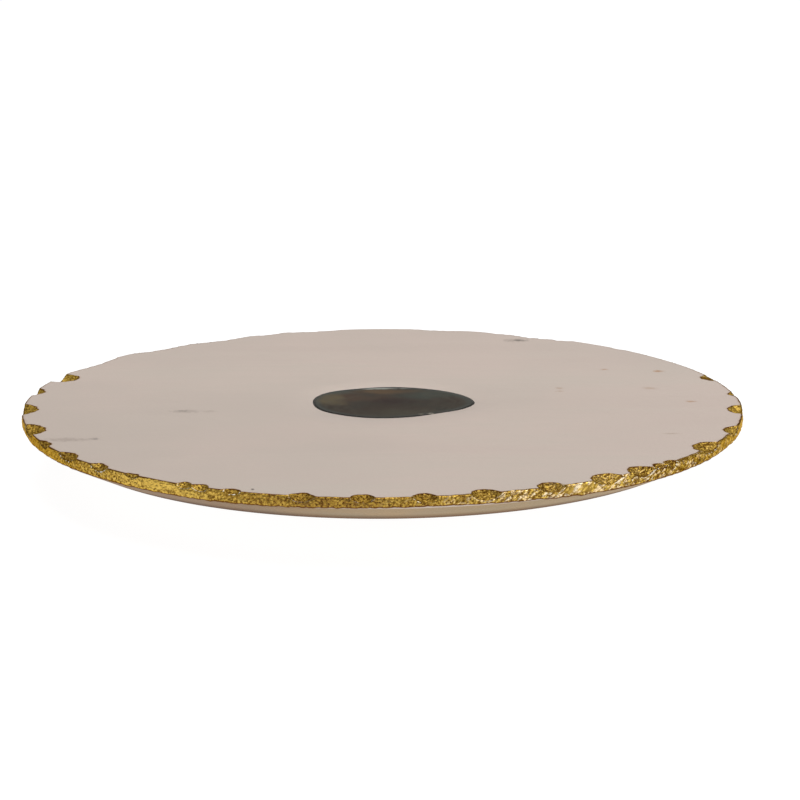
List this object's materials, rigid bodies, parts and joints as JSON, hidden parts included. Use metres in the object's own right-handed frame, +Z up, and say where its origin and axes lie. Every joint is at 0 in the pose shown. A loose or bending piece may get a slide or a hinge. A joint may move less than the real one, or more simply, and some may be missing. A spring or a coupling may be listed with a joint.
{
  "type": "lazy susan turntable",
  "caption": "Round marble serving turntable with a chipped gilded rim and a flush agate slice, turning on a ball bearing over a low wooden base on rubber feet.",
  "frame": {"origin": "on the spin axis at the table surface that the feet stand on", "axes": "+Z up along the spin axis, front faces -Y, +X to the right seen from the front"},
  "size_m": [0.381, 0.381, 0.0365],
  "materials": {
    "marble": "honed, faintly veined",
    "gold_leaf": "worn gold leaf over chipped stone",
    "agate": "polished, banded grey-green",
    "resin": "polished dark epoxy",
    "brass": "machined",
    "foam": "matt EVA",
    "race": "turned",
    "screw_steel": "zinc plated",
    "nylon": "moulded nylon",
    "ball_steel": "ground and polished",
    "wood": "oiled mango wood",
    "rubber": "moulded"
  },
  "bodies": {
    "base": {"base_disc": "wood", "inner_race": "race", "base_screws": "screw_steel", "foot_washers": "screw_steel", "foot_screws": "screw_steel", "foot_1": "rubber", "foot_2": "rubber", "foot_3": "rubber", "foot_4": "rubber", "foot_5": "rubber", "foot_6": "rubber"},
    "turntable": {"marble_disc": "marble", "gold_leaf_edge": "gold_leaf", "agate_inlay": "agate", "inlay_resin": "resin", "threaded_inserts": "brass", "bearing_pad": "foam", "outer_race": "race", "ball_fill_plug": "race", "race_screws": "screw_steel"},
    "cage": {"ball_cage": "nylon"},
    "ball_01": {"ball_01": "ball_steel"},
    "ball_02": {"ball_02": "ball_steel"},
    "ball_03": {"ball_03": "ball_steel"},
    "ball_04": {"ball_04": "ball_steel"},
    "ball_05": {"ball_05": "ball_steel"},
    "ball_06": {"ball_06": "ball_steel"},
    "ball_07": {"ball_07": "ball_steel"},
    "ball_08": {"ball_08": "ball_steel"},
    "ball_09": {"ball_09": "ball_steel"},
    "ball_10": {"ball_10": "ball_steel"},
    "ball_11": {"ball_11": "ball_steel"},
    "ball_12": {"ball_12": "ball_steel"},
    "ball_13": {"ball_13": "ball_steel"},
    "ball_14": {"ball_14": "ball_steel"},
    "ball_15": {"ball_15": "ball_steel"},
    "ball_16": {"ball_16": "ball_steel"},
    "ball_17": {"ball_17": "ball_steel"},
    "ball_18": {"ball_18": "ball_steel"},
    "ball_19": {"ball_19": "ball_steel"},
    "ball_20": {"ball_20": "ball_steel"},
    "ball_21": {"ball_21": "ball_steel"},
    "ball_22": {"ball_22": "ball_steel"},
    "ball_23": {"ball_23": "ball_steel"},
    "ball_24": {"ball_24": "ball_steel"}
  },
  "joints": [
    {"name": "turntable_spin", "type": "hinge", "parent": "base", "child": "turntable", "pos_m": [0, 0, 0.01425], "axis": [0, 0, 1], "continuous": true},
    {"name": "cage_spin", "type": "hinge", "parent": "base", "child": "cage", "pos_m": [0, 0, 0.01425], "axis": [0, 0, 1], "continuous": true},
    {"name": "ball_01_roll", "type": "hinge", "parent": "cage", "child": "ball_01", "pos_m": [0, -0.0575, 0.01425], "axis": [0, 0, 1], "continuous": true},
    {"name": "ball_02_roll", "type": "hinge", "parent": "cage", "child": "ball_02", "pos_m": [0.01488, -0.05554, 0.01425], "axis": [0, 0, 1], "continuous": true},
    {"name": "ball_03_roll", "type": "hinge", "parent": "cage", "child": "ball_03", "pos_m": [0.02875, -0.0498, 0.01425], "axis": [0, 0, 1], "continuous": true},
    {"name": "ball_04_roll", "type": "hinge", "parent": "cage", "child": "ball_04", "pos_m": [0.04066, -0.04066, 0.01425], "axis": [0, 0, 1], "continuous": true},
    {"name": "ball_05_roll", "type": "hinge", "parent": "cage", "child": "ball_05", "pos_m": [0.0498, -0.02875, 0.01425], "axis": [0, 0, 1], "continuous": true},
    {"name": "ball_06_roll", "type": "hinge", "parent": "cage", "child": "ball_06", "pos_m": [0.05554, -0.01488, 0.01425], "axis": [0, 0, 1], "continuous": true},
    {"name": "ball_07_roll", "type": "hinge", "parent": "cage", "child": "ball_07", "pos_m": [0.0575, 0, 0.01425], "axis": [0, 0, 1], "continuous": true},
    {"name": "ball_08_roll", "type": "hinge", "parent": "cage", "child": "ball_08", "pos_m": [0.05554, 0.01488, 0.01425], "axis": [0, 0, 1], "continuous": true},
    {"name": "ball_09_roll", "type": "hinge", "parent": "cage", "child": "ball_09", "pos_m": [0.0498, 0.02875, 0.01425], "axis": [0, 0, 1], "continuous": true},
    {"name": "ball_10_roll", "type": "hinge", "parent": "cage", "child": "ball_10", "pos_m": [0.04066, 0.04066, 0.01425], "axis": [0, 0, 1], "continuous": true},
    {"name": "ball_11_roll", "type": "hinge", "parent": "cage", "child": "ball_11", "pos_m": [0.02875, 0.0498, 0.01425], "axis": [0, 0, 1], "continuous": true},
    {"name": "ball_12_roll", "type": "hinge", "parent": "cage", "child": "ball_12", "pos_m": [0.01488, 0.05554, 0.01425], "axis": [0, 0, 1], "continuous": true},
    {"name": "ball_13_roll", "type": "hinge", "parent": "cage", "child": "ball_13", "pos_m": [0, 0.0575, 0.01425], "axis": [0, 0, 1], "continuous": true},
    {"name": "ball_14_roll", "type": "hinge", "parent": "cage", "child": "ball_14", "pos_m": [-0.01488, 0.05554, 0.01425], "axis": [0, 0, 1], "continuous": true},
    {"name": "ball_15_roll", "type": "hinge", "parent": "cage", "child": "ball_15", "pos_m": [-0.02875, 0.0498, 0.01425], "axis": [0, 0, 1], "continuous": true},
    {"name": "ball_16_roll", "type": "hinge", "parent": "cage", "child": "ball_16", "pos_m": [-0.04066, 0.04066, 0.01425], "axis": [0, 0, 1], "continuous": true},
    {"name": "ball_17_roll", "type": "hinge", "parent": "cage", "child": "ball_17", "pos_m": [-0.0498, 0.02875, 0.01425], "axis": [0, 0, 1], "continuous": true},
    {"name": "ball_18_roll", "type": "hinge", "parent": "cage", "child": "ball_18", "pos_m": [-0.05554, 0.01488, 0.01425], "axis": [0, 0, 1], "continuous": true},
    {"name": "ball_19_roll", "type": "hinge", "parent": "cage", "child": "ball_19", "pos_m": [-0.0575, 0, 0.01425], "axis": [0, 0, 1], "continuous": true},
    {"name": "ball_20_roll", "type": "hinge", "parent": "cage", "child": "ball_20", "pos_m": [-0.05554, -0.01488, 0.01425], "axis": [0, 0, 1], "continuous": true},
    {"name": "ball_21_roll", "type": "hinge", "parent": "cage", "child": "ball_21", "pos_m": [-0.0498, -0.02875, 0.01425], "axis": [0, 0, 1], "continuous": true},
    {"name": "ball_22_roll", "type": "hinge", "parent": "cage", "child": "ball_22", "pos_m": [-0.04066, -0.04066, 0.01425], "axis": [0, 0, 1], "continuous": true},
    {"name": "ball_23_roll", "type": "hinge", "parent": "cage", "child": "ball_23", "pos_m": [-0.02875, -0.0498, 0.01425], "axis": [0, 0, 1], "continuous": true},
    {"name": "ball_24_roll", "type": "hinge", "parent": "cage", "child": "ball_24", "pos_m": [-0.01488, -0.05554, 0.01425], "axis": [0, 0, 1], "continuous": true}
  ],
  "couplings": [
    {"joint": "cage_spin", "follows": "turntable_spin", "ratio": 0.52174},
    {"joint": "ball_01_roll", "follows": "turntable_spin", "ratio": 11.478},
    {"joint": "ball_02_roll", "follows": "turntable_spin", "ratio": 11.478},
    {"joint": "ball_03_roll", "follows": "turntable_spin", "ratio": 11.478},
    {"joint": "ball_04_roll", "follows": "turntable_spin", "ratio": 11.478},
    {"joint": "ball_05_roll", "follows": "turntable_spin", "ratio": 11.478},
    {"joint": "ball_06_roll", "follows": "turntable_spin", "ratio": 11.478},
    {"joint": "ball_07_roll", "follows": "turntable_spin", "ratio": 11.478},
    {"joint": "ball_08_roll", "follows": "turntable_spin", "ratio": 11.478},
    {"joint": "ball_09_roll", "follows": "turntable_spin", "ratio": 11.478},
    {"joint": "ball_10_roll", "follows": "turntable_spin", "ratio": 11.478},
    {"joint": "ball_11_roll", "follows": "turntable_spin", "ratio": 11.478},
    {"joint": "ball_12_roll", "follows": "turntable_spin", "ratio": 11.478},
    {"joint": "ball_13_roll", "follows": "turntable_spin", "ratio": 11.478},
    {"joint": "ball_14_roll", "follows": "turntable_spin", "ratio": 11.478},
    {"joint": "ball_15_roll", "follows": "turntable_spin", "ratio": 11.478},
    {"joint": "ball_16_roll", "follows": "turntable_spin", "ratio": 11.478},
    {"joint": "ball_17_roll", "follows": "turntable_spin", "ratio": 11.478},
    {"joint": "ball_18_roll", "follows": "turntable_spin", "ratio": 11.478},
    {"joint": "ball_19_roll", "follows": "turntable_spin", "ratio": 11.478},
    {"joint": "ball_20_roll", "follows": "turntable_spin", "ratio": 11.478},
    {"joint": "ball_21_roll", "follows": "turntable_spin", "ratio": 11.478},
    {"joint": "ball_22_roll", "follows": "turntable_spin", "ratio": 11.478},
    {"joint": "ball_23_roll", "follows": "turntable_spin", "ratio": 11.478},
    {"joint": "ball_24_roll", "follows": "turntable_spin", "ratio": 11.478}
  ]
}
